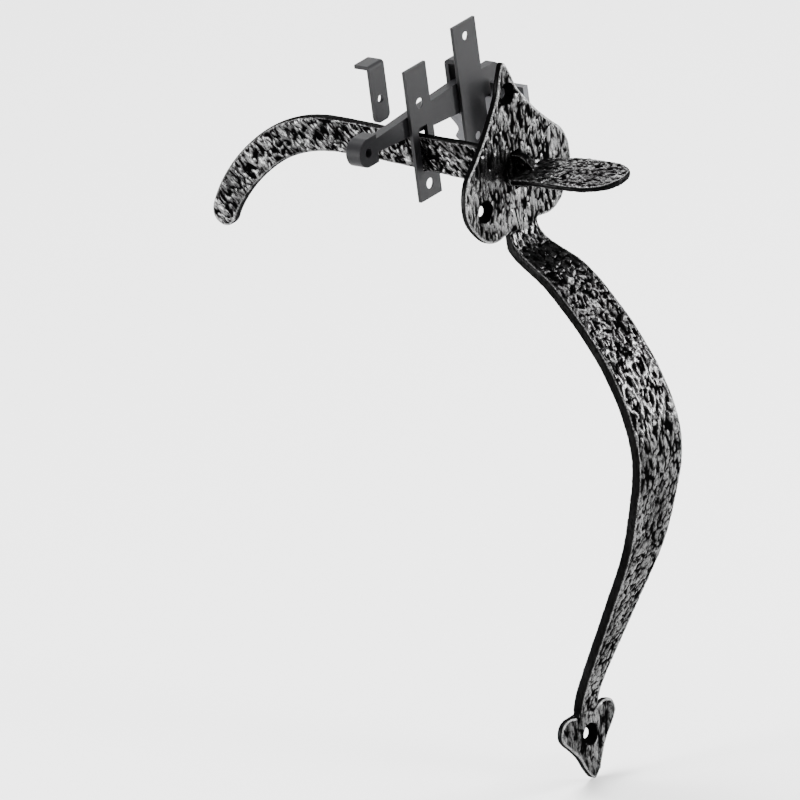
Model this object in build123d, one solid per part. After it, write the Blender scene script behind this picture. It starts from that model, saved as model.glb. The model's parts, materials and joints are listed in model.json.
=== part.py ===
# A thumb latch for a plank or stile door, put together as it is fitted, without the door.
# Outside: an iron handle in one piece, made of a spade-shaped plate, a bowed leaf-shaped grip
# and a small spade foot, with a thumb lever that turns on a pin behind the plate.
# Inside: a slotted guide plate for the lever's long tail, a keeper plate with its riveted
# staple, a tapered latch bar that turns about its eye, a snib that turns down over the bar,
# and the hooked catch that stands on the door frame.
# Frame: millimetres, Z up, X to the right seen from outside. The door's outside face is the
# plane y = 0 and its inside face is y = door_thickness. The origin is on the back of the
# handle's plate, midway between the two screw holes in its side lobes.
import math
import os

from build123d import *

# Door and running clearances
door_thickness = 44.0
rest_gap = 0.3             # between pieces that rest on or pass each other
pin_play = 0.05            # radial play of the lever on its pin
slot_play = 0.8            # each side of the lever's blade in the plate and the guide

# Countersunk screw holes, 90 degree heads
screw_hole_d = 4.5
screw_head_d = 9.0

# Handle plate, a spade with its point up
plate_thickness = 3.2
plate_half_width = 36.2
plate_tip_z = 57.0
plate_base_z = -15.5
plate_edge_break = 0.5
lobe_hole_x = 23.5
tip_hole_z = 43.3

# Grip, a bowed strap: how far its face stands from the door, and half widths of its leaf
grip_reach = 61.0
grip_thickness = 5.0
grip_half_width = 14.8
grip_neck_half_width = 9.5
grip_foot_half_width = 5.8
grip_edge_break = 0.7

# Foot, a smaller spade with its point down
foot_thickness = 3.2
foot_half_width = 18.5
foot_top_z = -230.2
foot_tip_z = -261.0
foot_hole_z = -241.0

# Thumb lever: flat pad outside, blade on edge through the door, drooping tail inside
pad_reach = 59.2
pad_root_y = -8.0
pad_half_width = 14.2
pad_root_half_width = 12.4
pad_thickness = 3.2
pad_root_z = 11.0
pad_rise = 2.6
blade_thickness = 4.4
blade_depth = 16.0
blade_neck_depth = 14.2
blade_start_y = 15.0
tail_arch_y = 82.0
tail_top_rise = 1.9
tail_bottom_rise = 3.8

# Lever pin and the lugs that hold it behind the plate
pivot_y = 5.0
pivot_z = 10.2
pin_r = 2.0
lug_thickness = 3.0
lug_reach = 9.5
lug_half_height = 9.0

# Guide plate and keeper plate
sheet_thickness = 2.0
sheet_edge_break = 0.6
guide_width = 14.2
guide_height = 57.6
guide_top_to_slot = 26.4
guide_top_to_hole = 16.1
guide_hole_pitch = 35.4
guide_slot_width = 6.0
guide_head_d = 7.6
keeper_width = 15.0
keeper_height = 56.0
keeper_hole_pitch = 44.2
keeper_hole_d = 3.5
keeper_head_d = 7.0

# Staple on the keeper plate
staple_width = 7.0
staple_thickness = 2.0
staple_bend_r = 2.4

# Latch bar, lengths from the middle of its eye
bar_thickness = 5.6
bar_depth = 12.7
bar_neck_depth = 5.7
bar_to_keeper = 70.6
bar_to_end = 93.7
bar_taper_short_of_keeper = 9.0
bar_bevel = 1.2
bar_end_bow = 4.0
eye_x = -36.0
eye_half = 6.1
eye_hole_d = 4.0
bar_lift_deg = 5.0

# Catch on the frame, lengths in Y from the middle of its notch
catch_x = 47.2
catch_thickness = 3.2
catch_height = 29.8
catch_nose_reach = 22.0
catch_root_reach = 21.6
catch_notch_width = 8.6
catch_notch_depth = 6.4
catch_hole_reach = 14.4
catch_hole_pitch = 15.4

# Snib, a turning strip whose end is bent out over the bar
snib_width = 9.5
snib_length = 25.4
snib_thickness = 1.7
snib_below_hole = 9.8
snib_hole_d = 3.7
snib_tab_reach = 8.0

# Worked out from the values above
inside_y = door_thickness
sheet_face_y = inside_y + sheet_thickness
bar_back_y = sheet_face_y + rest_gap
bar_front_y = bar_back_y + bar_thickness
bar_middle_y = bar_back_y + bar_thickness / 2
keeper_x = eye_x + bar_to_keeper
taper_end = bar_to_keeper - bar_taper_short_of_keeper
blade_top_z = pivot_z + blade_depth / 2
blade_bottom_z = pivot_z - blade_depth / 2


def bar_half_depth(from_eye):
    """Half of the bar's depth at a distance from its eye."""
    share = (from_eye - eye_half) / (taper_end - eye_half)
    return (bar_neck_depth + (bar_depth - bar_neck_depth) * min(1.0, max(0.0, share))) / 2


def blade_edge(y, root_z, rise):
    """Height of the blade's top or bottom edge between its root and the arch of the tail."""
    return root_z + rise * (y - blade_start_y) / (tail_arch_y - blade_start_y)


# The bar rests over the blade and stays as far above it all the way up
blade_under_bar_z = blade_edge(bar_front_y, blade_top_z, tail_top_rise)
bar_z = blade_under_bar_z + rest_gap + bar_half_depth(blade_thickness / 2 - eye_x)
bar_lift = math.radians(bar_lift_deg)
lift_ratio = (bar_front_y - pivot_y) / -eye_x
lever_lift = bar_lift / lift_ratio

# The staple's window lets the bar rise as far as the lever lifts it
window_low_z = bar_z - bar_depth / 2 - rest_gap
bar_rise_at_staple = (bar_to_keeper + staple_width / 2) * math.sin(bar_lift)
window_high_z = bar_z + bar_depth / 2 + bar_rise_at_staple + rest_gap
keeper_z = (window_low_z + window_high_z) / 2
staple_height = window_high_z - window_low_z + 2 * staple_thickness
staple_front_y = bar_front_y + rest_gap + staple_thickness

# The snib turns between the guide plate and the bar's eye
snib_reach = snib_length - snib_below_hole
snib_sweep = math.hypot(snib_reach, snib_width / 2)
snib_x = -guide_width / 2 - rest_gap - snib_sweep
snib_z = bar_z + bar_half_depth(snib_x + snib_width / 2 - eye_x) + rest_gap + snib_reach


def spade(shares, half_width, top_z, bottom_z, thickness):
    """A spade-shaped plate on the door, the same on both sides, from shares of its width and height."""
    right = Spline(*[(half_width * a, bottom_z + (top_z - bottom_z) * b) for a, b in shares])
    left = mirror(right, about=Plane.YZ)
    edges = [right, left]
    for end in (0, 1):
        if abs((right @ end).X) > 0.01:
            edges.append(Line(right @ end, left @ end))
    plate = extrude(make_face(Plane.XZ * (Curve() + edges)), thickness, dir=(0, -1, 0))
    front = plate.faces().sort_by(Axis.Y)[0]
    rim = front.edges().filter_by(lambda edge: edge.bounding_box().size.Z > 1)
    return chamfer(rim, plate_edge_break)


def band(face_line, thickness, tangents=None):
    """A strip's side view in the YZ plane, from the (y, z) points of its outer face."""
    outer = Spline(*face_line, tangents=tangents)
    steps = 16
    inner_points = []
    for i in range(steps + 1):
        along = outer % (i / steps)
        inner_points.append(outer @ (i / steps) + Vector(-along.Y, along.X) * thickness)
    inner = Spline(*inner_points)
    ends = [Line(outer @ 0, inner @ 0), Line(outer @ 1, inner @ 1)]
    return make_face(Plane.YZ * (Curve() + [outer, inner] + ends))


def countersunk(at, outward, length, hole_d=screw_hole_d, head_d=screw_head_d):
    """The cutter of a countersunk screw hole whose head opens at a point on the face."""
    head_depth = (head_d - hole_d) / 2
    head = Cone(hole_d / 2, head_d / 2, head_depth, align=(Align.CENTER, Align.CENTER, Align.MAX))
    return Plane(origin=at, z_dir=outward) * (head + Cylinder(hole_d / 2, 2 * length))


def make_grip():
    """The bowed strap: its side view as a band, cut to its leaf-shaped front view."""
    plunge = foot_top_z - plate_base_z
    side = [(-grip_reach * a, plate_base_z + plunge * b) for a, b in [
        (0.044, -0.05), (0.068, 0.02), (0.377, 0.085), (0.715, 0.207), (0.984, 0.41),
        (0.925, 0.508), (0.785, 0.634), (0.455, 0.798), (0.105, 0.972), (0.045, 1.03)]]
    strip = extrude(band(side, grip_thickness), 2 * grip_half_width, both=True)
    leaf_shares = [(grip_neck_half_width, -0.06), (grip_neck_half_width, 0.02),
                   (grip_half_width * 0.85, 0.085), (grip_half_width * 0.90, 0.25),
                   (grip_half_width, 0.41), (grip_half_width * 0.95, 0.508),
                   (grip_half_width * 0.85, 0.634), (grip_half_width * 0.62, 0.798),
                   (grip_foot_half_width, 0.96), (grip_foot_half_width, 1.04)]
    right = Spline(*[(a, plate_base_z + plunge * b) for a, b in leaf_shares])
    left = mirror(right, about=Plane.YZ)
    ends = [Line(right @ 0, left @ 0), Line(right @ 1, left @ 1)]
    leaf = extrude(make_face(Plane.XZ * (Curve() + [right, left] + ends)), 2 * grip_reach, dir=(0, -1, 0))
    grip = strip & leaf
    long_edges = grip.edges().filter_by(lambda edge: edge.length > grip_reach)
    return chamfer(long_edges, grip_edge_break)


def make_handle():
    """Plate, grip and foot in one piece, with the lugs for the lever's pin behind the plate."""
    plate = spade([(0, 1), (0.207, 0.903), (0.276, 0.791), (0.40, 0.707), (0.635, 0.589), (0.925, 0.429),
                   (1, 0.283), (0.884, 0.123), (0.69, 0.03), (0.50, 0), (0.24, 0.018)],
                  plate_half_width, plate_tip_z, plate_base_z, plate_thickness)
    foot = spade([(0.26, 0.935), (0.60, 1), (0.90, 0.95), (1, 0.774), (0.65, 0.516),
                  (0.47, 0.387), (0.297, 0.194), (0, 0)],
                 foot_half_width, foot_top_z, foot_tip_z, foot_thickness)
    lug = Pos(blade_thickness / 2 + rest_gap, -plate_thickness / 2, pivot_z) * Box(
        lug_thickness, lug_reach + plate_thickness / 2, 2 * lug_half_height,
        align=(Align.MIN, Align.MIN, Align.CENTER))
    handle = plate + make_grip() + foot + lug + mirror(lug, about=Plane.YZ)
    handle -= Pos(0, 0, pivot_z) * Box(
        blade_thickness + 2 * rest_gap, 4 * plate_thickness, blade_depth + 2 * slot_play)
    handle -= Pos(0, pivot_y, pivot_z) * Rot(0, 90, 0) * Cylinder(pin_r, 40)
    for x, z in [(-lobe_hole_x, 0), (lobe_hole_x, 0), (0, tip_hole_z)]:
        handle -= countersunk((x, -plate_thickness, z), (0, -1, 0), plate_thickness)
    return handle - countersunk((0, -foot_thickness, foot_hole_z), (0, -1, 0), foot_thickness)


def make_thumb_lever():
    """The lever in one piece: pad, neck through the plate, blade through the door, tail."""
    neck_top = pivot_z + blade_neck_depth / 2
    neck_bottom = pivot_z - blade_neck_depth / 2
    arch_top_z = blade_top_z + tail_top_rise
    arch_bottom_z = blade_bottom_z + tail_bottom_rise
    top_steps = [(0, 0), (29.5, 3.7), (60, 22.6), (76, 41.2), (80, 50)]
    bottom_steps = [(0, 0), (25, 2.4), (52, 18.3), (66, 35.3)]
    top = Spline(*[(tail_arch_y + a, arch_top_z - b) for a, b in top_steps],
                 tangents=[(1, 0.03), (0.3, -1)])
    bottom = Spline(*[(tail_arch_y + a, arch_bottom_z - b) for a, b in bottom_steps],
                    tangents=[(1, 0.04), (0.45, -1)])
    tip = ThreePointArc(top @ 1, (tail_arch_y + 72.3, arch_top_z - 55.3), bottom @ 1)
    upper = Polyline((pad_root_y - 6, pad_root_z), (pad_root_y, neck_top), (pivot_y + 4, neck_top),
                     (blade_start_y, blade_top_z), top @ 0)
    lower = Polyline((pad_root_y - 6, pad_root_z), (pad_root_y - 6, pad_root_z - pad_thickness),
                     (pad_root_y, neck_bottom), (pivot_y + 4, neck_bottom),
                     (blade_start_y, blade_bottom_z), bottom @ 0)
    side = make_face(Plane.YZ * (Curve() + [upper, top, tip, bottom, lower]))
    blade = extrude(side, blade_thickness / 2, both=True)

    length = pad_reach + pad_root_y
    face_line = [(pad_root_y - length * a, pad_root_z + pad_rise * b)
                 for a, b in [(0, 0), (0.42, 0.88), (0.75, 0.98), (1.02, 1)]]
    strip = extrude(band(face_line, pad_thickness), 2 * pad_half_width, both=True)
    half_widths = [(pad_root_half_width, 0), (pad_half_width * 0.96, 0.25), (pad_half_width, 0.6),
                   (pad_half_width * 0.91, 0.82), (pad_half_width * 0.63, 0.95), (0, 1)]
    outline = Spline(*[(a, pad_root_y - length * b) for a, b in half_widths],
                     tangents=[(0.1, -1), (-1, 0)])
    other = mirror(outline, about=Plane.YZ)
    plan = make_face(Curve() + [outline, other, Line(outline @ 0, other @ 0)])
    pad = strip & extrude(plan, 2 * pad_reach, both=True)
    lever = blade + pad
    return lever - Pos(0, pivot_y, pivot_z) * Rot(0, 90, 0) * Cylinder(pin_r + pin_play, 40)


def make_lever_pin():
    """The pin the lever turns on, tight in both lugs, its ends chamfered."""
    half = blade_thickness / 2 + rest_gap + lug_thickness
    pin = Cylinder(pin_r, 2 * half + 1.2)
    pin = chamfer(pin.edges().filter_by(GeomType.CIRCLE), 0.5)
    return Pos(0, pivot_y, pivot_z) * Rot(0, 90, 0) * pin


def make_sheet(x, width, low_z, height):
    """A flat plate on the inside of the door with its front edges broken."""
    plate = Pos(x, inside_y, low_z) * Box(
        width, sheet_thickness, height, align=(Align.CENTER, Align.MIN, Align.MIN))
    return chamfer(plate.faces().sort_by(Axis.Y)[-1].edges(), sheet_edge_break)


def make_guide_plate():
    """The slotted plate that steadies the lever's tail where it leaves the door."""
    slot_low_z = blade_edge(inside_y, blade_bottom_z, tail_bottom_rise) - rest_gap
    blade_top_here_z = blade_edge(sheet_face_y, blade_top_z, tail_top_rise)
    slot_high_z = blade_top_here_z + (sheet_face_y - pivot_y) * math.sin(lever_lift) + slot_play
    top_z = slot_high_z + guide_top_to_slot
    plate = make_sheet(0, guide_width, top_z - guide_height, guide_height)
    plate -= Pos(0, inside_y, (slot_low_z + slot_high_z) / 2) * Box(
        guide_slot_width, 4 * sheet_thickness, slot_high_z - slot_low_z)
    for z in (top_z - guide_top_to_hole, top_z - guide_top_to_hole - guide_hole_pitch):
        plate -= countersunk((0, sheet_face_y, z), (0, 1, 0), sheet_thickness, screw_hole_d, guide_head_d)
    return plate


def make_keeper_plate():
    """The plate the staple is riveted to, with a screw hole above and below."""
    plate = make_sheet(keeper_x, keeper_width, keeper_z - keeper_height / 2, keeper_height)
    for sign in (-1, 1):
        leg_z = keeper_z + sign * (staple_height - staple_thickness) / 2
        plate -= Pos(keeper_x, inside_y, leg_z) * Box(staple_width, 4 * sheet_thickness, staple_thickness)
        hole_z = keeper_z + sign * keeper_hole_pitch / 2
        plate -= countersunk((keeper_x, sheet_face_y, hole_z), (0, 1, 0), sheet_thickness,
                             keeper_hole_d, keeper_head_d)
    return plate


def make_staple():
    """The keeper's staple, bent round the bar, its legs through the keeper plate."""
    depth = staple_front_y - inside_y
    to_front = (Align.CENTER, Align.MIN, Align.CENTER)
    outer = Box(staple_width, depth, staple_height, align=to_front)
    outer = fillet(outer.edges().filter_by(Axis.X).group_by(Axis.Y)[-1], staple_bend_r)
    inner_height = staple_height - 2 * staple_thickness
    inner = Box(2 * staple_width, depth - staple_thickness, inner_height, align=to_front)
    inner = fillet(inner.edges().filter_by(Axis.X).group_by(Axis.Y)[-1], staple_bend_r - staple_thickness)
    return Pos(keeper_x, inside_y, keeper_z) * (outer - inner)


def make_latch_bar():
    """The bar: full depth past the staple, a long taper, and an eye block with square shoulders."""
    half = bar_depth / 2
    neck = bar_neck_depth / 2
    bow_start = bar_to_end - bar_end_bow
    top = Polyline((0, neck), (eye_half, neck), (taper_end, half), (bow_start, half))
    end = ThreePointArc((bow_start, half), (bar_to_end, 0), (bow_start, -half))
    bottom = Polyline((bow_start, -half), (taper_end, -half), (eye_half, -neck), (0, -neck))
    side = make_face(Curve() + [top, end, bottom, Line((0, -neck), (0, neck))])
    straight = bar_thickness - bar_bevel
    blank = extrude(side, straight, dir=(0, 0, 1))
    blank += extrude(Pos(0, 0, straight) * side, bar_bevel, dir=(0, 0, 1), taper=45)
    # the eye block reaches back to the door, so that the bar clears the plates
    block_side = Curve() + [
        ThreePointArc((0, eye_half), (-eye_half, 0), (0, -eye_half)),
        Polyline((0, -eye_half), (eye_half, -eye_half), (eye_half, eye_half), (0, eye_half))]
    back = bar_back_y - inside_y - rest_gap
    block = Pos(0, 0, -back) * extrude(make_face(block_side), bar_thickness + back, dir=(0, 0, 1))
    block = chamfer(block.faces().sort_by(Axis.Z)[-1].edges(), bar_bevel / 2)
    bar = blank + block - Cylinder(eye_hole_d / 2, 6 * bar_thickness)
    seat = Plane(origin=(eye_x, bar_back_y, bar_z), x_dir=(1, 0, 0), z_dir=(0, -1, 0))
    return seat * mirror(bar, about=Plane.XY)


def make_catch():
    """The hooked catch: ramped nose, notch for the bar, and two countersunk screw holes."""
    notch_z = bar_z - bar_depth / 2 - rest_gap
    high = notch_z + catch_notch_depth
    low = high - catch_height
    near = bar_middle_y - catch_notch_width / 2
    far = bar_middle_y + catch_notch_width / 2
    nose_y = bar_middle_y + catch_nose_reach
    root_y = bar_middle_y - catch_root_reach
    ramp_foot = (nose_y - 1, high - 0.335 * catch_height)
    heel = (far + 2.6, low)
    rim = [
        Polyline((root_y, low), (root_y, high), (near, high), (near, notch_z), (far, notch_z),
                 (far, high), (far + 1.3, high), ramp_foot),
        Spline(ramp_foot, (nose_y, high - 0.415 * catch_height),
               (nose_y - 2.4, high - 0.604 * catch_height), (nose_y - 6.4, high - 0.78 * catch_height),
               heel, tangents=[(0.8, -0.6), (-1, -0.12)]),
        Line(heel, (root_y, low))]
    side = make_face(Plane.YZ * (Curve() + rim))
    catch = Pos(catch_x, 0, 0) * extrude(side, catch_thickness, dir=(1, 0, 0))
    for sign in (-1, 1):
        hole = (catch_x, bar_middle_y - catch_hole_reach, (low + high) / 2 + sign * catch_hole_pitch / 2)
        catch -= countersunk(hole, (-1, 0, 0), catch_thickness)
    return catch


def make_snib():
    """The snib, turned up out of the bar's way: a strip with one hole and an end bent outward."""
    back_y = inside_y + rest_gap
    strip = Box(snib_width, snib_thickness, snib_length, align=(Align.CENTER, Align.MIN, Align.MIN))
    tab = Pos(0, 0, snib_length - snib_thickness) * Box(
        snib_width, snib_tab_reach, snib_thickness, align=(Align.CENTER, Align.MIN, Align.MIN))
    snib = strip + tab
    outer_bend = snib.edges().filter_by(Axis.X).group_by(Axis.Y)[0].sort_by(Axis.Z)[-1]
    snib = fillet(outer_bend, snib_thickness * 0.9)
    foot_corners = snib.edges().filter_by(Axis.Y).group_by(Axis.Z)[0]
    snib = fillet(foot_corners, snib_width * 0.3)
    snib -= Pos(0, 0, snib_below_hole) * Rot(90, 0, 0) * Cylinder(snib_hole_d / 2, 4 * snib_thickness)
    return Pos(snib_x, back_y, snib_z - snib_below_hole) * snib


def main():
    pieces = {
        "handle": make_handle,
        "thumb_lever": make_thumb_lever,
        "lever_pin": make_lever_pin,
        "guide_plate": make_guide_plate,
        "keeper_plate": make_keeper_plate,
        "staple": make_staple,
        "latch_bar": make_latch_bar,
        "catch": make_catch,
        "snib": make_snib,
    }
    os.makedirs("parts", exist_ok=True)
    for name, make in pieces.items():
        export_step(make(), f"parts/{name}.step")
    print(f"bar_z {bar_z:.4f} lever {math.degrees(lever_lift):.3f} ratio {lift_ratio:.4f}"
          f" keeper {keeper_x:.2f} {keeper_z:.3f} snib {snib_x:.3f} {snib_z:.3f}")


main()
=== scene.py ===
import json
import math

import bmesh
import bpy
import numpy as np
from mathutils import Matrix, Vector


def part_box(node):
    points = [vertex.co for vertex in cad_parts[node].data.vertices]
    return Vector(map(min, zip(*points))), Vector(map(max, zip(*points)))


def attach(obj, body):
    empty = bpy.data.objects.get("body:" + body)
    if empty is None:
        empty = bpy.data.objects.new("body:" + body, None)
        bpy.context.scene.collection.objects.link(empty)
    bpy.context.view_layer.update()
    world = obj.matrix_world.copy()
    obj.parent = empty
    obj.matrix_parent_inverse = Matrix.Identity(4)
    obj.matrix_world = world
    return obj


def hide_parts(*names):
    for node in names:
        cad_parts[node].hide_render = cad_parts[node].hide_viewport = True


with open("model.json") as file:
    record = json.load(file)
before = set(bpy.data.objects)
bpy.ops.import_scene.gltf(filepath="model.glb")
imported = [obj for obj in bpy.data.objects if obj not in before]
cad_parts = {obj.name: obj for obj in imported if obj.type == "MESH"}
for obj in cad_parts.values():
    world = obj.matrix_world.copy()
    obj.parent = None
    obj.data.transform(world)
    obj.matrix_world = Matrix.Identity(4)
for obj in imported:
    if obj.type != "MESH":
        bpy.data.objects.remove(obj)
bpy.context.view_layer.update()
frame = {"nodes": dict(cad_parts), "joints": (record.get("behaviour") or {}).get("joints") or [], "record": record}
handleLow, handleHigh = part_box("handle")
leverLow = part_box("thumb_lever")[0]
mounts = {m["name"]: m for m in frame["record"]["mounts"]}
joints = {j["name"]: j for j in frame["joints"]}
pivotZ = joints["lever_press"]["pos_m"][2]
mm = 0.001
axisX = (1.0, 0.0, 0.0)
axisY = (0.0, 1.0, 0.0)
axisZ = (0.0, 0.0, 1.0)
print("frame loaded")


# Shader maths on sockets: expressions on these values add their Math nodes
class Value:
    def __init__(self, tree, socket):
        self.tree = tree
        self.socket = socket

    def math(self, operation, first, second):
        return self.tree.node("ShaderNodeMath", {"operation": operation}, {0: first, 1: second})

    def __add__(self, other):
        return self.math("ADD", self, other)

    def __radd__(self, other):
        return self.math("ADD", other, self)

    def __mul__(self, other):
        return self.math("MULTIPLY", self, other)

    def __rmul__(self, other):
        return self.math("MULTIPLY", other, self)


# One material; node adds a node to it, from its type, its settings and its sockets' inputs
class Tree:
    def __init__(self, name):
        self.material = bpy.data.materials.new(name)
        self.material.use_nodes = True
        self.nodes = self.material.node_tree.nodes
        self.links = self.material.node_tree.links
        self.surface = self.nodes["Principled BSDF"]

    def node(self, kind, settings=None, inputs=None, output=0):
        made = self.nodes.new(kind)
        for key, value in (settings or {}).items():
            if key == "stops":  # a ramp's two stops, as (place, brightness)
                for element, (place, level) in zip(made.color_ramp.elements, value):
                    element.position = place
                    element.color = (level, level, level, 1)
            else:
                setattr(made, key, value)
        self.fill(made, inputs or {})
        return Value(self, made.outputs[output])

    def fill(self, made, inputs):
        for key, value in inputs.items():
            if isinstance(value, Value):
                self.links.new(value.socket, made.inputs[key])
            else:
                made.inputs[key].default_value = value

    def principled(self, **sockets):
        self.fill(self.surface, {key.replace("_", " "): value for key, value in sockets.items()})
        return self.material


# 0 up to start, 1 from start + span on, and straight between
def fade(values, start, span):
    return np.clip((values - start) / span, 0, 1)


scatter = {
    "cell": (374761393, 668265263, 2147483647),
    "seed": 974634777,
    "mix": 1274126177,
    "shifts": (13, 16),
    "lowBits": 0xFFFFFF,
}


# A number from 0 to 1 for each cell of the lattice, the same at every run: the cell's three
# numbers times large factors, added, and their bits mixed
def hashed(cells, seed):
    first, second = scatter["shifts"]
    mixed = (cells.astype(np.int64) * scatter["cell"]).sum(axis=-1) + seed * scatter["seed"]
    mixed = (mixed ^ (mixed >> first)) * scatter["mix"]
    mixed = mixed ^ (mixed >> second)
    return (mixed & scatter["lowBits"]) / scatter["lowBits"]


# Lattice noise: the numbers at a cell's eight corners, eased between them, from -1 to 1
def smoothNoise(points, seed):
    base = np.floor(points)
    part = points - base
    ease = part * part * (3 - 2 * part)
    total = np.zeros(len(points))
    for corner in np.ndindex(2, 2, 2):
        step = np.array(corner)
        weight = np.prod(np.where(step == 1, ease, 1 - ease), axis=1)
        total += weight * hashed(base + step, seed)
    return total * 2 - 1


# Squared distance to the nearest of one jittered centre per cell: bowls that meet in ridges
def bowls(points, seed):
    base = np.floor(points)
    nearest = np.full(len(points), np.inf)
    for offset in np.ndindex(3, 3, 3):
        cell = base + np.array(offset) - 1
        centre = cell + np.stack([hashed(cell, seed + k) for k in (1, 2, 3)], axis=1)
        nearest = np.minimum(nearest, ((points - centre) ** 2).sum(axis=1))
    return nearest


hammering = {    # scales are in cells to a blow
    "warpScale": 0.7,
    "warpReach": 0.55,
    "warpSeeds": (10, 20, 30),
    "bowlScale": 0.8,
    "bowlGain": 1.3,
    "furrow": {"scale": 1.05, "shift": 5, "width": 0.5, "seed": 50},
    "scratch": {"scale": 2.2, "shift": 9, "width": 0.45, "seed": 70},
    "lowest": 0.06,
    "bowlShares": (0.28, 0.66),         # what stays in a bowl, and what its ridge adds
    "cutShares": (0.16, 0.62, 0.22),    # what stays in a cut, and what furrows and scratches take
    "level": 0.75,                      # the relief that lies on the plain face
    "plain": 0.29,                      # the relief written where no blow falls
    "wornCorner": (0.05, 0.08),         # cornerness where the line of edge wear and painted highlight starts, and its span
}


# 0 along the zero lines of a noise, rising to 1 on both sides
def cutLines(scaled, cut, seed):
    noise = smoothNoise(scaled * cut["scale"] + cut["shift"], seed + cut["seed"])
    return fade(np.abs(noise), 0, cut["width"])


# Hammered relief, 0 at the bottom of a blow and 1 on the high spots: warped bowls that meet in
# ridges, cut through by furrows and finer scratches
def hammerRelief(points, blow, tilt, seed):
    r = hammering
    c = math.cos(tilt)
    s = math.sin(tilt)
    lean = np.array([[1, 0, 0], [0, c, -s], [0, s, c]])
    scaled = points @ lean / np.array(blow)
    warp = [smoothNoise(scaled * r["warpScale"], seed + more) for more in r["warpSeeds"]]
    scaled = scaled + r["warpReach"] * np.stack(warp, axis=1)
    bowl = np.clip(bowls(scaled * r["bowlScale"], seed) * r["bowlGain"], 0, 1)
    furrow = cutLines(scaled, r["furrow"], seed)
    scratch = cutLines(scaled, r["scratch"], seed)
    furrow = (3 - 2 * furrow) * furrow**2
    hollow, ridge = r["bowlShares"]
    kept, byFurrow, byScratch = r["cutShares"]
    cuts = kept + byFurrow * furrow + byScratch * scratch
    return np.clip(r["lowest"] + (hollow + ridge * bowl) * cuts, 0, 1)


narrowest = 0.15 * mm    # half width left at a pointed end
fullest = 0.98    # the largest radius of a corner, as a share of the smaller half size


# A smooth line through points: Hermite pieces with slopes from the neighbours
def smoothLine(points, count):
    points = np.array(points, float)
    chords = np.linalg.norm(np.diff(points, axis=0), axis=1) ** 0.5
    places = np.concatenate([[0], np.cumsum(chords)])
    slopes = np.gradient(points, places, axis=0)
    at = np.linspace(0, places[-1], count)
    k = np.clip(np.searchsorted(places, at, side="right") - 1, 0, len(points) - 2)
    span = (places[k + 1] - places[k])[:, None]
    s = ((at - places[k])[:, None]) / span
    return ((2 * s**3 - 3 * s**2 + 1) * points[k] + (s**3 - 2 * s**2 + s) * span * slopes[k]
            + (3 * s**2 - 2 * s**3) * points[k + 1] + (s**3 - s**2) * span * slopes[k + 1])


# A rounded rectangle carried along a path: at each station its half sizes lie along two unit
# directions, and each corner is a quarter circle no larger than either half size
def carriedSlab(path, across, outward, halfWide, halfThick, corner, perCorner=5):
    count = len(path)
    halfWide = np.broadcast_to(halfWide, count)[:, None]
    halfThick = np.broadcast_to(halfThick, count)[:, None]
    radius = np.minimum(corner, np.minimum(halfWide, halfThick) * fullest)
    quarter = np.linspace(0, np.pi / 2, perCorner)
    turn = np.concatenate([quarter + q * np.pi / 2 for q in range(4)])[None, :]
    signWide = np.repeat([1, -1, -1, 1], perCorner)[None, :]
    signThick = np.repeat([1, 1, -1, -1], perCorner)[None, :]
    wide = (signWide * (halfWide - radius) + radius * np.cos(turn))[..., None]
    thick = (signThick * (halfThick - radius) + radius * np.sin(turn))[..., None]
    return path[:, None, :] + wide * across[:, None, :] + thick * outward[:, None, :]


# One direction at every station
def steady(direction, count):
    return np.tile(direction, (count, 1))


# A path in the plane of Y and Z
def yzPath(y, z):
    return np.stack([np.zeros(len(z)), np.broadcast_to(y, len(z)), z], axis=1)


# The unit direction across such a path
def outwardAlong(path, across):
    along = np.gradient(path, axis=0)
    along /= np.linalg.norm(along, axis=1)[:, None]
    return np.cross(across, along)


# A grid of stations and section points made a closed mesh: quads between, one face at each end
def closedShell(grid):
    stations, around = grid.shape[:2]
    index = np.arange(stations * around).reshape(stations, around)
    a = index[:-1]
    b = index[1:]
    quads = np.stack([a, np.roll(a, -1, axis=1), np.roll(b, -1, axis=1), b], axis=-1).reshape(-1, 4)
    caps = [index[0][::-1].tolist(), index[-1].tolist()]
    return grid.reshape(-1, 3), quads.tolist() + caps


# Closed shells joined in one mesh, with their normals turned outwards
def meshFrom(name, shells):
    points = []
    faces = []
    start = 0
    for shellPoints, shellFaces in shells:
        points.append(shellPoints)
        faces += [[v + start for v in face] for face in shellFaces]
        start += len(shellPoints)
    mesh = bpy.data.meshes.new(name)
    mesh.from_pydata(np.concatenate(points).tolist(), [], faces)
    work = bmesh.new()
    work.from_mesh(mesh)
    bmesh.ops.recalc_face_normals(work, faces=work.faces)
    work.to_mesh(mesh)
    work.free()
    piece = bpy.data.objects.new(name, mesh)
    bpy.context.scene.collection.objects.link(piece)
    return piece


# The mesh as its modifiers leave it takes their place
def applyModifiers(piece):
    bpy.context.view_layer.update()
    evaluated = piece.evaluated_get(bpy.context.evaluated_depsgraph_get())
    finished = bpy.data.meshes.new_from_object(evaluated)
    piece.modifiers.clear()
    piece.data = finished


# One skin over the joined shells, its inner corners eased as a smith would leave them
def forge(piece, grain, easing):
    skin = piece.modifiers.new("skin", "REMESH")
    skin.mode = "VOXEL"
    skin.voxel_size = grain
    ease = piece.modifiers.new("ease", "SMOOTH")
    ease.factor = 0.5
    ease.iterations = easing
    applyModifiers(piece)


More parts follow.
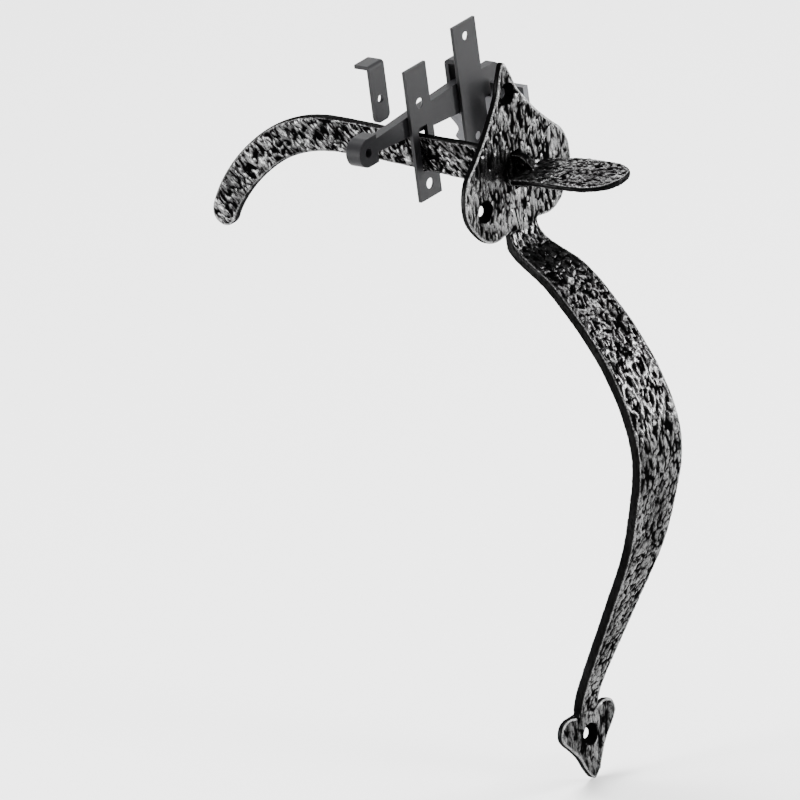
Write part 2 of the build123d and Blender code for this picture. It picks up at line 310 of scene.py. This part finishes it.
# How far each point of an even mesh stands out from the mean of its neighbours, in units of
# the grain: 0 on a flat face and about a quarter on a crisp outer corner
def cornerness(mesh, points, normals, grain):
    ends = np.empty(len(mesh.edges) * 2, np.int32)
    mesh.edges.foreach_get("vertices", ends)
    a, b = ends.reshape(-1, 2).T
    total = np.zeros_like(points)
    np.add.at(total, a, points[b])
    np.add.at(total, b, points[a])
    degree = np.bincount(ends, minlength=len(points))[:, None]
    return ((points - total / degree) * normals).sum(axis=1) / grain


# Every point moves along its normal by the blow's depth times relief - level, so the ridges
# stand a little proud and the bowls lie well below; struck says how much of the blow a point
# takes, and the rim line of edge wear and painted highlight keeps to the struck side of a corner
def hammer(piece, settings, struck):
    level = hammering["level"]
    plain = hammering["plain"]
    mesh = piece.data
    count = len(mesh.vertices)
    points = np.empty(count * 3, np.float32)
    normals = np.empty(count * 3, np.float32)
    mesh.vertices.foreach_get("co", points)
    mesh.vertex_normals.foreach_get("vector", normals)
    points = points.reshape(-1, 3).astype(float)
    normals = normals.reshape(-1, 3)
    relief = hammerRelief(points, settings["blow"], settings["tilt"], settings["seed"])
    taken = struck(points, normals)
    # the rim: edge wear on the struck corners, which the iron also lightens as a painted highlight
    rim = fade(cornerness(mesh, points, normals, settings["grain"]), *hammering["wornCorner"]) * taken
    points = points + normals * (settings["blowDepth"] * (relief - level) * taken)[:, None]
    mesh.vertices.foreach_set("co", points.astype(np.float32).ravel())
    for name, values in (("relief", relief * taken + plain * (1 - taken)), ("rim", rim)):
        attribute = mesh.attributes.new(name, "FLOAT", "POINT")
        attribute.data.foreach_set("value", values.astype(np.float32))
    mesh.update()


# Each closed cutter is taken out of the piece, and then the cutters go
def cutAway(piece, cutters):
    for cutter in cutters:
        cut = piece.modifiers.new("cut", "BOOLEAN")
        cut.operation = "DIFFERENCE"
        cut.solver = "MANIFOLD"
        cut.object = cutter
    applyModifiers(piece)
    for cutter in cutters:
        bpy.data.objects.remove(cutter)


cutting = {
    "forward": (0.0, -1.0, 0.0),     # out of the plate's face
    "ringStart": (0.3, 0.5, 0.8),    # any direction off that one
    "segments": 48,
    "slotEdge": 0.01 * mm,
    "slotCornerPoints": 2,
}


# A turned cutter round the line forward from a point: rings of given radii at given distances,
# from well in front of the face, down the screw head's cone, and on through the shank's hole
def countersink(at, holeRadius, headRadius, reach):
    forward = np.array(cutting["forward"])
    side = np.cross(forward, cutting["ringStart"])
    side /= np.linalg.norm(side)
    other = np.cross(forward, side)
    angle = np.linspace(0, 2 * np.pi, cutting["segments"], endpoint=False)
    ring = np.cos(angle)[:, None] * side + np.sin(angle)[:, None] * other
    cone = headRadius - holeRadius
    steps = [(reach, headRadius + reach), (0, headRadius), (-cone, holeRadius), (-reach, holeRadius)]
    grid = np.stack([np.array(at) + forward * along + ring * radius for along, radius in steps])
    return meshFrom("screw_hole", [closedShell(grid)])


# A box from low to high: the same rectangle at its bottom and its top
def slotCutter(low, high):
    x = (low[0] + high[0]) / 2
    y = (low[1] + high[1]) / 2
    path = np.array([[x, y, z] for z in (low[2], high[2])])
    grid = carriedSlab(path, steady(axisX, 2), steady(axisY, 2), (high[0] - low[0]) / 2,
                       (high[1] - low[1]) / 2, cutting["slotEdge"], cutting["slotCornerPoints"])
    return meshFrom("lever_slot", [closedShell(grid)])


# A spade, flat at y = 0 behind: rows from edge to edge of a smooth half outline, each row a
# rounded rectangle
def spadeShell(outline, thickness, corner, rows):
    half = smoothLine(outline, rows)
    wide = np.maximum(np.abs(half[:, 0]), narrowest)
    path = yzPath(-thickness / 2, half[:, 1])
    across = steady(axisX, rows)
    outward = steady(axisY, rows)
    return closedShell(carriedSlab(path, across, outward, wide, thickness / 2, corner))


handle = {
    "plateShare": 0.2280,        # of the handle's height, from the tip down
    "plateOutline": [(0, 1), (0.03, 0.99), (0.11, 0.915), (0.18, 0.83), (0.30, 0.745), (0.49, 0.628),
                     (0.72, 0.515), (0.90, 0.43), (0.98, 0.32), (0.97, 0.21), (0.87, 0.12),
                     (0.69, 0.03), (0.50, 0), (0.24, 0.018)],    # shares of half width and height
    "plateRows": 160,
    "thickness": 3.2 * mm,       # of plate and foot
    "edge": 0.5 * mm,
    "footShare": 0.0969,         # of the handle's height, from the toe up
    "footHalfWidth": 18.5 * mm,
    "footOutline": [(0.26, 0.935), (0.60, 1), (0.90, 0.95), (1, 0.774), (0.65, 0.516),
                    (0.47, 0.387), (0.297, 0.194), (0.12, 0.045), (0, 0)],
    "footRows": 90,
    "gripLine": [(0.044, -0.05, 9.5), (0.068, 0.02, 9.6), (0.39, 0.085, 12.4), (0.74, 0.207, 13.5),
                 (0.915, 0.31, 14.3), (0.98, 0.395, 14.7), (0.965, 0.46, 14.6), (0.895, 0.53, 14.0),
                 (0.76, 0.634, 12.6), (0.44, 0.798, 9.2), (0.105, 0.972, 5.8),
                 (0.045, 1.03, 5.8)],    # shares of the reach and of the way down, half width in mm
    "gripStations": 220,
    "gripThickness": 5.0 * mm,
    "gripEdge": 0.7 * mm,
    "lugX": 4.0 * mm,
    "lugHalfThickness": 1.5 * mm,
    "lugHalfHeight": 9.0 * mm,
    "lugEdge": 0.6 * mm,
    "slotHalfWidth": 2.5 * mm,
    "slotHalfHeight": 8.0 * mm,
    "slotFrontY": -9.0 * mm,
    "slotPastLugs": 1.0 * mm,
    "headSunk": 0.3 * mm,        # the screw heads' rims lie this far under the plain face
    "headToHole": 2,
    "drillReach": 8.0 * mm,
    "gripFrom": 1.0 * mm,        # in front of the plate's face, where the grip's own blows begin
    "frontStruck": (0.3, 0.4),   # start and span of the blows, by how far a face looks forward
    "gripStruck": (-0.9, 0.3),   # the same on the grip, by how far it looks sideways, made negative
    "grain": 0.55 * mm,
    "easing": 2,
    "blow": (1.6 * mm, 1.6 * mm, 4.8 * mm),    # one blow along x, y and z
    "tilt": 0.0,
    "blowDepth": 0.65 * mm,
    "seed": 3,
    "grainDrawn": (1.0, 1.0, 2.4),    # how far the finish is drawn out along x, y and z
}


# Two spades, a strap carried down the grip's front line at its own width, and two lugs: one
# skin over them is hammered, and then drilled and slotted
def makeHandle():
    h = handle
    height = handleHigh.z - handleLow.z
    plateBase = handleHigh.z - h["plateShare"] * height
    footTop = handleLow.z + h["footShare"] * height
    plateRise = handleHigh.z - plateBase
    footRise = footTop - handleLow.z
    plateOutline = [(handleHigh.x * a, plateBase + plateRise * b) for a, b in h["plateOutline"]]
    footOutline = [(h["footHalfWidth"] * a, handleLow.z + footRise * b) for a, b in h["footOutline"]]
    plate = spadeShell(plateOutline, h["thickness"], h["edge"], h["plateRows"])
    foot = spadeShell(footOutline, h["thickness"], h["edge"], h["footRows"])
    # down the grip's front line, 0 is the plate's base and 1 the foot's top
    reach = -handleLow.y / max(out for out, down, wide in h["gripLine"])
    plunge = footTop - plateBase
    gripLine = [(-reach * out, plateBase + plunge * down, wide * mm)
                for out, down, wide in h["gripLine"]]
    front = smoothLine([(y, z) for y, z, wide in gripLine], h["gripStations"])
    face = yzPath(front[:, 0], front[:, 1])
    across = steady(axisX, len(face))
    inward = outwardAlong(face, across)
    middle = face + inward * h["gripThickness"] / 2
    halfWide = smoothLine(gripLine, len(face))[:, 2]
    strip = carriedSlab(middle, across, inward, halfWide, h["gripThickness"] / 2, h["gripEdge"])
    strip[..., 1] = np.minimum(strip[..., 1], 0)    # flat behind, where it lies on the door
    grip = closedShell(strip)
    lugs = []
    for side in (-1, 1):
        path = np.array([[side * h["lugX"], y, pivotZ] for y in (-h["thickness"] / 2, handleHigh.y)])
        lug = carriedSlab(path, steady(axisX, 2), steady(axisZ, 2), h["lugHalfThickness"],
                          h["lugHalfHeight"], h["lugEdge"])
        lugs.append(closedShell(lug))
    piece = meshFrom("hammered_handle", [plate, foot, grip] + lugs)
    forge(piece, h["grain"], h["easing"])

    def struck(points, normals):
        # the blows fall on the fronts of plate and foot and on both faces of the grip, not on rims
        fronts = fade(-normals[:, 1], *h["frontStruck"])
        bothFaces = fade(-np.abs(normals[:, 0]), *h["gripStruck"])
        return np.where(points[:, 1] > -h["thickness"] - h["gripFrom"], fronts, bothFaces)

    hammer(piece, h, struck)
    lobeX = mounts["plate_screws"]["dims"]["spacing_x_mm"] * mm / 2
    middleZ = mounts["centre_screws"]["pos_m"][2]
    halfPitch = mounts["centre_screws"]["dims"]["spacing_y_mm"] * mm / 2
    holes = [(-lobeX, 0), (lobeX, 0), (0, middleZ + halfPitch), (0, middleZ - halfPitch)]
    radius = mounts["plate_screws"]["dims"]["hole_r_mm"] * mm
    headRadius = h["headToHole"] * radius
    headY = -h["thickness"] + h["headSunk"]
    cutters = [countersink((x, headY, z), radius, headRadius, h["drillReach"]) for x, z in holes]
    slotLow = (-h["slotHalfWidth"], h["slotFrontY"], pivotZ - h["slotHalfHeight"])
    slotHigh = (h["slotHalfWidth"], handleHigh.y + h["slotPastLugs"], pivotZ + h["slotHalfHeight"])
    cutters.append(slotCutter(slotLow, slotHigh))
    cutAway(piece, cutters)
    return piece


thumbLever = {
    "padRootY": -8.0 * mm,
    "padInset": 2.0 * mm,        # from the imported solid's tip
    "padThickness": 3.2 * mm,
    "padEdge": 1.3 * mm,
    "padOutline": [(12.4, 0), (13.3, 0.1), (14.2, 0.28), (15.0, 0.6), (13.7, 0.82), (9.4, 0.95),
                   (3.5, 0.996), (0, 1)],    # half width in mm at a share of the length
    "padRise": [(0, 0.8), (0.42, 3.1), (0.75, 3.4), (1.0, 3.4)],    # share of the length, mm
    "padStations": 110,
    "riseStations": 200,
    "bladeThickness": 4.4 * mm,
    "bladeEdge": 1.0 * mm,
    "bladeLine": [(-14, 0.4, 3), (-8, 0.0, 13.6), (0, 0, 14.2), (8, 0, 14.2), (15, 0, 16.0),
                  (48, 1.4, 15.0), (82, 2.9, 14.9), (97, 2.6, 15.3), (109, 0.2, 15.2),
                  (122, -5.4, 14.8), (137, -16.5, 13.9), (148, -28.6, 13.0), (154, -38.6, 12.2),
                  (156, -45.6, 11.6)],    # y, height over the pin and depth, in mm
    "bladeStations": 240,
    "tipLeast": 0.001,           # of the squared depth, so that the last section stays open
    "padStruckFrom": 2.0 * mm,   # in front of the pad's root
    "struck": (0.4, 0.4),        # start and span of the blows, by how far a face looks their way
    "grain": 0.5 * mm,
    "easing": 2,
    "blow": (1.7 * mm, 3.6 * mm, 1.7 * mm),
    "tilt": math.radians(45),    # the blows lie aslant on the tail
    "blowDepth": 0.7 * mm,
    "seed": 11,
    "grainDrawn": (1.0, 2.4, 1.0),
}


# The pad's rows follow half its outline at a rising height, and blade and tail are carried
# along a middle line at half their depth each way: one skin over them is hammered
def makeThumbLever():
    t = thumbLever
    length = -leverLow.y - t["padInset"] + t["padRootY"]
    padOutline = [(x * mm, t["padRootY"] - length * share) for x, share in t["padOutline"]]
    outline = smoothLine(padOutline, t["padStations"])
    rises = smoothLine(t["padRise"], t["riseStations"])
    rise = np.interp((t["padRootY"] - outline[:, 1]) / length, rises[:, 0], rises[:, 1]) * mm
    path = yzPath(outline[:, 1], pivotZ + rise - t["padThickness"] / 2)
    across = steady(axisX, len(path))
    halfWide = np.maximum(outline[:, 0], narrowest)
    pad = closedShell(carriedSlab(path, across, outwardAlong(path, across), halfWide,
                                  t["padThickness"] / 2, t["padEdge"]))
    # the blade and tail: a middle line and a half depth, from the pad's root to the tip
    bladeLine = [(y * mm, pivotZ + z * mm, deep * mm / 2) for y, z, deep in t["bladeLine"]]
    line = smoothLine(bladeLine, t["bladeStations"])
    halfDeep = line[:, 2]
    middle = yzPath(line[:, 0], line[:, 1])
    # the tip is a half round: the depth closes as a circle over its own radius
    steps = np.linalg.norm(np.diff(middle, axis=0), axis=1)
    left = steps.sum() - np.concatenate([[0], np.cumsum(steps)])
    closing = np.clip(1 - (1 - fade(left, 0, halfDeep[-1])) ** 2, t["tipLeast"], 1)
    halfDeep = halfDeep * np.sqrt(closing)
    across = steady(axisX, len(middle))
    blade = closedShell(carriedSlab(middle, outwardAlong(middle, across), across, halfDeep,
                                    t["bladeThickness"] / 2, t["bladeEdge"]))
    piece = meshFrom("hammered_lever", [pad, blade])
    forge(piece, t["grain"], t["easing"])

    def struck(points, normals):
        # the pad is hammered on its top and underside, the blade and tail on their two sides
        onPad = points[:, 1] < t["padRootY"] - t["padStruckFrom"]
        facing = np.abs(np.where(onPad, normals[:, 2], normals[:, 0]))
        return fade(facing, *t["struck"])

    hammer(piece, t, struck)
    return piece


print("making the handle")
handlePiece = makeHandle()
print("handle", len(handlePiece.data.polygons))
leverPiece = makeThumbLever()
print("thumb lever", len(leverPiece.data.polygons))


iron = {    # noise scales are per metre, stops are (place, brightness)
    "creaseScale": 420.0,
    "gritScale": 1500.0,
    "patchScale": 70.0,
    "crackScale": 1100.0,
    # base colour from the relief: darkest in the pits as painted shade, lighter on the high spots as painted
    # highlight
    "toneStops": [(0.25, 0.001), (0.85, 0.006)],
    "waxedStops": [(0.28, 0.0), (0.52, 1.0)],     # the wax stays off the pits
    "patchStops": [(0.38, 0.4), (0.60, 1.0)],
    "crackStops": [(0.40, 0.08), (0.54, 1.0)],
    # bare grains on the rim, added to the base colour: edge wear that is also a painted highlight
    "wornStops": [(0.35, 0.0), (0.55, 1.0)],
    "wornTone": 0.3,
    "gritHeight": 0.3,
    "bump": 0.8,
    "bumpDepth": 0.5 * mm,
    "roughness": 0.6,
    "waxRoughness": 0.24,
    "waxIor": 1.8,
    "smoothUpTo": math.radians(55),
}


# Dull dark iron whose base colour is darker in the pits than on the high spots, a painted shade,
# with wax on its high spots that cracks and patches break up, and grains of bare metal along the
# rim that are edge wear and also a painted highlight
def hammeredIron(name, drawn, tilt):
    t = Tree(name)
    place = t.node("ShaderNodeTexCoord", output=3)
    relief = t.node("ShaderNodeAttribute", {"attribute_name": "relief"}, output=2)
    rim = t.node("ShaderNodeAttribute", {"attribute_name": "rim"}, output=2)
    along = t.node("ShaderNodeMapping", {"vector_type": "TEXTURE"},
                   {"Vector": place, "Rotation": (tilt, 0.0, 0.0), "Scale": drawn})
    creases = t.node("ShaderNodeTexNoise", {"noise_type": "RIDGED_MULTIFRACTAL"},
                     {"Vector": along, "Scale": iron["creaseScale"], "Detail": 3.0, "Roughness": 0.6,
                      "Distortion": 0.6})
    grit = t.node("ShaderNodeTexNoise", None,
                  {"Vector": place, "Scale": iron["gritScale"], "Detail": 3.0, "Roughness": 0.6})
    patches = t.node("ShaderNodeTexNoise", None,
                     {"Vector": along, "Scale": iron["patchScale"], "Detail": 2.0})
    cracks = t.node("ShaderNodeTexNoise", None,
                    {"Vector": along, "Scale": iron["crackScale"], "Detail": 3.0, "Roughness": 0.7})
    # painted shade in the pits and painted highlight on the high spots, read from the relief
    paintedReliefShade = t.node("ShaderNodeValToRGB", {"stops": iron["toneStops"]}, {0: relief})
    waxed = t.node("ShaderNodeValToRGB", {"stops": iron["waxedStops"]}, {0: relief})
    spread = t.node("ShaderNodeValToRGB", {"stops": iron["patchStops"]}, {0: patches})
    # edge wear along the rim, lightened in the base colour as a painted highlight
    wearAndHighlight = t.node("ShaderNodeValToRGB", {"stops": iron["wornStops"]}, {0: grit}) * rim
    whole = t.node("ShaderNodeValToRGB", {"stops": iron["crackStops"]}, {0: cracks})
    bump = t.node("ShaderNodeBump", None, {"Strength": iron["bump"], "Distance": iron["bumpDepth"],
                                           "Height": creases + grit * iron["gritHeight"]})
    return t.principled(Base_Color=paintedReliefShade + wearAndHighlight * iron["wornTone"], Metallic=wearAndHighlight,
                        Roughness=iron["roughness"], Specular_IOR_Level=0.0, Normal=bump,
                        Coat_Weight=waxed * spread * whole, Coat_Roughness=iron["waxRoughness"],
                        Coat_IOR=iron["waxIor"])


# Fine lines left by drawing, along the axis that is stretched
def drawnSteel(name, steel):
    t = Tree(name)
    place = t.node("ShaderNodeTexCoord", output=3)
    along = t.node("ShaderNodeMapping", None, {"Vector": place, "Scale": steel["stretch"]})
    lines = t.node("ShaderNodeTexNoise", None,
                   {"Vector": along, "Scale": steel["lineScale"], "Detail": 2.0})
    bump = t.node("ShaderNodeBump", None,
                  {"Strength": steel["bump"], "Distance": steel["bumpDepth"], "Height": lines})
    return t.principled(Base_Color=steel["colour"], Metallic=steel["metallic"], Normal=bump,
                        Roughness=steel["roughness"] + lines * steel["lineRoughness"],
                        Specular_IOR_Level=steel["specular"])


steels = {
    "black_steel": {
        "colour": (0.012, 0.012, 0.013, 1),
        "metallic": 0.0,
        "specular": 0.06,
        "roughness": 0.35,
        "lineRoughness": 0.2,
        "lineScale": 2500.0,
        "stretch": (0.06, 1.0, 1.0),
        "bump": 0.25,
        "bumpDepth": 0.1 * mm,
        "nodes": ["guide_plate", "keeper_plate", "staple", "latch_bar", "snib"],
    },
    "brushed_steel": {
        "colour": (0.05, 0.05, 0.053, 1),
        "metallic": 1.0,
        "specular": 0.5,
        "roughness": 0.4,
        "lineRoughness": 0.2,
        "lineScale": 2200.0,
        "stretch": (1.0, 0.05, 1.0),
        "bump": 0.3,
        "bumpDepth": 0.1 * mm,
        "nodes": ["catch", "lever_pin"],
    },
}

handleIron = hammeredIron("hammered iron, drawn down", handle["grainDrawn"], handle["tilt"])
leverIron = hammeredIron("hammered iron, drawn inward", thumbLever["grainDrawn"], thumbLever["tilt"])
for piece, material in ((handlePiece, handleIron), (leverPiece, leverIron)):
    piece.data.materials.clear()
    piece.data.materials.append(material)
    piece.data.shade_smooth()
    piece.data.set_sharp_from_angle(angle=iron["smoothUpTo"])
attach(handlePiece, "fixed")
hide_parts("handle")
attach(leverPiece, "lever")
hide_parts("thumb_lever")

for slot, steel in steels.items():
    material = drawnSteel(slot.replace("_", " "), steel)
    for node in steel["nodes"]:
        piece = frame["nodes"][node]
        piece.data.materials.clear()
        piece.data.materials.append(material)
print("finishes done")


# Floor, lights and camera
studio = {
    "floorSize": 6.0,
    "floorBelow": 0.5 * mm,
    "paper": 0.92,
    "lens": 1500.0,
    "sensor": 36.0,
    "pxPerMm": 2.44,
    "imageWidth": 800,
    "target": (-60.4 * mm, 24.5 * mm, -72.7 * mm),
    "toCamera": (-0.714, -0.600, 0.3595),
    "cameraUp": (0.3571, 0.1289, 0.9251),
    "lit": (0.0, 0.02, -0.09),    # where every light looks
    "lights": [                   # name, place, size and power
        ("right front", (0.85, -0.80, 0.0), (0.16, 0.7), 29),
        ("upper right", (0.84, -0.47, 0.53), (0.3, 0.35), 6.5),
        ("key", (0.05, -1.2, 0.75), (0.22, 0.3), 14),
        ("left back", (-0.85, 0.72, 0.0), (0.3, 0.7), 24),
        ("right back", (0.95, 0.80, 0.45), (0.5, 0.5), 4),
        ("overhead", (0.3, 0.6, 2.4), (1.6, 1.6), 235),
    ],
    "ambient": 0.12,
}


def makeFloor():
    half = studio["floorSize"] / 2
    z = handleLow.z - studio["floorBelow"]
    corners = [(-half, -half, z), (half, -half, z), (half, half, z), (-half, half, z)]
    mesh = bpy.data.meshes.new("floor")
    mesh.from_pydata(corners, [], [(0, 1, 2, 3)])
    floor = bpy.data.objects.new("floor", mesh)
    bpy.context.scene.collection.objects.link(floor)
    t = Tree("pale paper")
    paper = studio["paper"]
    floor.data.materials.append(t.principled(Base_Color=(paper, paper, paper, 1), Roughness=0.9))


# A rectangle of light, turned from its place towards the middle of the latch
def addLight(name, place, size, power):
    data = bpy.data.lights.new(name, "AREA")
    data.shape = "RECTANGLE"
    data.size, data.size_y = size
    data.energy = power
    light = bpy.data.objects.new(name, data)
    light.location = place
    toward = Vector(studio["lit"]) - Vector(place)
    light.rotation_euler = toward.to_track_quat("-Z", "Y").to_euler()
    bpy.context.scene.collection.objects.link(light)


def makeWorld():
    world = bpy.data.worlds.new("studio")
    world.use_nodes = True
    background = world.node_tree.nodes["Background"]
    background.inputs["Color"].default_value = (1, 1, 1, 1)
    background.inputs["Strength"].default_value = studio["ambient"]
    bpy.context.scene.world = world


# A long lens far off, so that the picture is imageWidth / pxPerMm across at the target
def makeCamera():
    across = studio["imageWidth"] / studio["pxPerMm"] * mm
    distance = across * studio["lens"] / studio["sensor"]
    back = Vector(studio["toCamera"]).normalized()
    up = Vector(studio["cameraUp"])
    right = up.cross(back).normalized()
    up = back.cross(right)
    camera = bpy.data.objects.new("camera", bpy.data.cameras.new("camera"))
    camera.data.lens = studio["lens"]
    camera.data.sensor_width = studio["sensor"]
    place = Vector(studio["target"]) + back * distance
    turned = Matrix((right, up, back)).transposed().to_4x4()
    camera.matrix_world = Matrix.Translation(place) @ turned
    bpy.context.scene.collection.objects.link(camera)
    bpy.context.scene.camera = camera


makeFloor()
for light in studio["lights"]:
    addLight(*light)
makeWorld()
makeCamera()
print("studio done")
